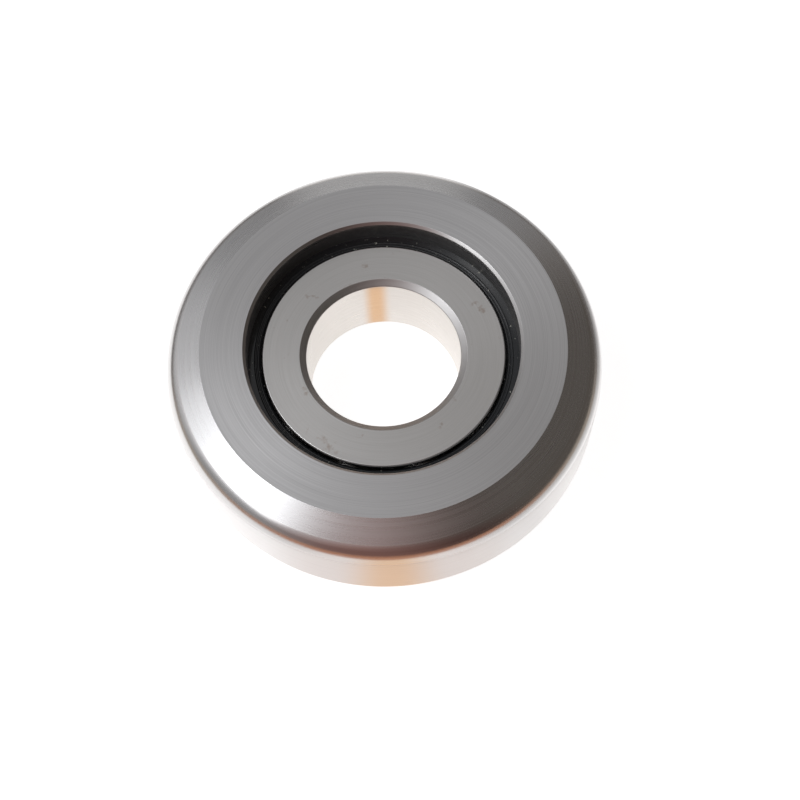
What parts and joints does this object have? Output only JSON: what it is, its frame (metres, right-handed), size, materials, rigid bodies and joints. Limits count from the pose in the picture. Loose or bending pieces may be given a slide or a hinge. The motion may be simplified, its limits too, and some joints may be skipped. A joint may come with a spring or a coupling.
{
  "type": "cam follower",
  "caption": "Yoke-type cam follower: thick outer ring with a straight tread and bevelled shoulders, turning on a caged, sealed ball row around a narrower recessed inner ring with a plain bore.",
  "frame": {"origin": "centre of the bearing: on the bore's axis, half way through both rings", "axes": "+Z along the bore's axis; the part is the same on both sides; +X through the centre of ball_01"},
  "size_m": [0.113, 0.113, 0.034],
  "materials": {
    "ring_steel": "hardened bearing steel, turned faces and ground tread and bore",
    "ball_steel": "lapped bearing steel, mirror polish",
    "pressed_steel": "pressed low-carbon steel sheet, oiled",
    "seal_rubber": "moulded nitrile rubber, satin"
  },
  "bodies": {
    "inner": {"inner_ring": "ring_steel"},
    "outer": {"outer_ring": "ring_steel", "upper_seal_rubber": "seal_rubber", "upper_seal_core": "pressed_steel", "lower_seal_rubber": "seal_rubber", "lower_seal_core": "pressed_steel"},
    "cage": {"cage_upper_half": "pressed_steel", "cage_lower_half": "pressed_steel", "cage_rivets": "pressed_steel"},
    "rolling_ball_01": {"ball_01": "ball_steel"},
    "rolling_ball_02": {"ball_02": "ball_steel"},
    "rolling_ball_03": {"ball_03": "ball_steel"},
    "rolling_ball_04": {"ball_04": "ball_steel"},
    "rolling_ball_05": {"ball_05": "ball_steel"},
    "rolling_ball_06": {"ball_06": "ball_steel"},
    "rolling_ball_07": {"ball_07": "ball_steel"},
    "rolling_ball_08": {"ball_08": "ball_steel"},
    "rolling_ball_09": {"ball_09": "ball_steel"},
    "rolling_ball_10": {"ball_10": "ball_steel"}
  },
  "joints": [
    {"name": "outer_spin", "type": "hinge", "parent": "inner", "child": "outer", "pos_m": [0, 0, 0], "axis": [0, 0, 1], "continuous": true},
    {"name": "cage_orbit", "type": "hinge", "parent": "inner", "child": "cage", "pos_m": [0, 0, 0], "axis": [0, 0, 1], "continuous": true},
    {"name": "ball_01_spin", "type": "hinge", "parent": "cage", "child": "rolling_ball_01", "pos_m": [0.03335, 0, 0], "axis": [0, 0, 1], "continuous": true},
    {"name": "ball_02_spin", "type": "hinge", "parent": "cage", "child": "rolling_ball_02", "pos_m": [0.02698, 0.0196, 0], "axis": [0, 0, 1], "continuous": true},
    {"name": "ball_03_spin", "type": "hinge", "parent": "cage", "child": "rolling_ball_03", "pos_m": [0.01031, 0.03172, 0], "axis": [0, 0, 1], "continuous": true},
    {"name": "ball_04_spin", "type": "hinge", "parent": "cage", "child": "rolling_ball_04", "pos_m": [-0.01031, 0.03172, 0], "axis": [0, 0, 1], "continuous": true},
    {"name": "ball_05_spin", "type": "hinge", "parent": "cage", "child": "rolling_ball_05", "pos_m": [-0.02698, 0.0196, 0], "axis": [0, 0, 1], "continuous": true},
    {"name": "ball_06_spin", "type": "hinge", "parent": "cage", "child": "rolling_ball_06", "pos_m": [-0.03335, 0, 0], "axis": [0, 0, 1], "continuous": true},
    {"name": "ball_07_spin", "type": "hinge", "parent": "cage", "child": "rolling_ball_07", "pos_m": [-0.02698, -0.0196, 0], "axis": [0, 0, 1], "continuous": true},
    {"name": "ball_08_spin", "type": "hinge", "parent": "cage", "child": "rolling_ball_08", "pos_m": [-0.01031, -0.03172, 0], "axis": [0, 0, 1], "continuous": true},
    {"name": "ball_09_spin", "type": "hinge", "parent": "cage", "child": "rolling_ball_09", "pos_m": [0.01031, -0.03172, 0], "axis": [0, 0, 1], "continuous": true},
    {"name": "ball_10_spin", "type": "hinge", "parent": "cage", "child": "rolling_ball_10", "pos_m": [0.02698, -0.0196, 0], "axis": [0, 0, 1], "continuous": true}
  ],
  "couplings": [
    {"joint": "cage_orbit", "follows": "outer_spin", "ratio": 0.61305},
    {"joint": "ball_01_spin", "follows": "outer_spin", "ratio": 2.0983},
    {"joint": "ball_02_spin", "follows": "outer_spin", "ratio": 2.0983},
    {"joint": "ball_03_spin", "follows": "outer_spin", "ratio": 2.0983},
    {"joint": "ball_04_spin", "follows": "outer_spin", "ratio": 2.0983},
    {"joint": "ball_05_spin", "follows": "outer_spin", "ratio": 2.0983},
    {"joint": "ball_06_spin", "follows": "outer_spin", "ratio": 2.0983},
    {"joint": "ball_07_spin", "follows": "outer_spin", "ratio": 2.0983},
    {"joint": "ball_08_spin", "follows": "outer_spin", "ratio": 2.0983},
    {"joint": "ball_09_spin", "follows": "outer_spin", "ratio": 2.0983},
    {"joint": "ball_10_spin", "follows": "outer_spin", "ratio": 2.0983}
  ]
}
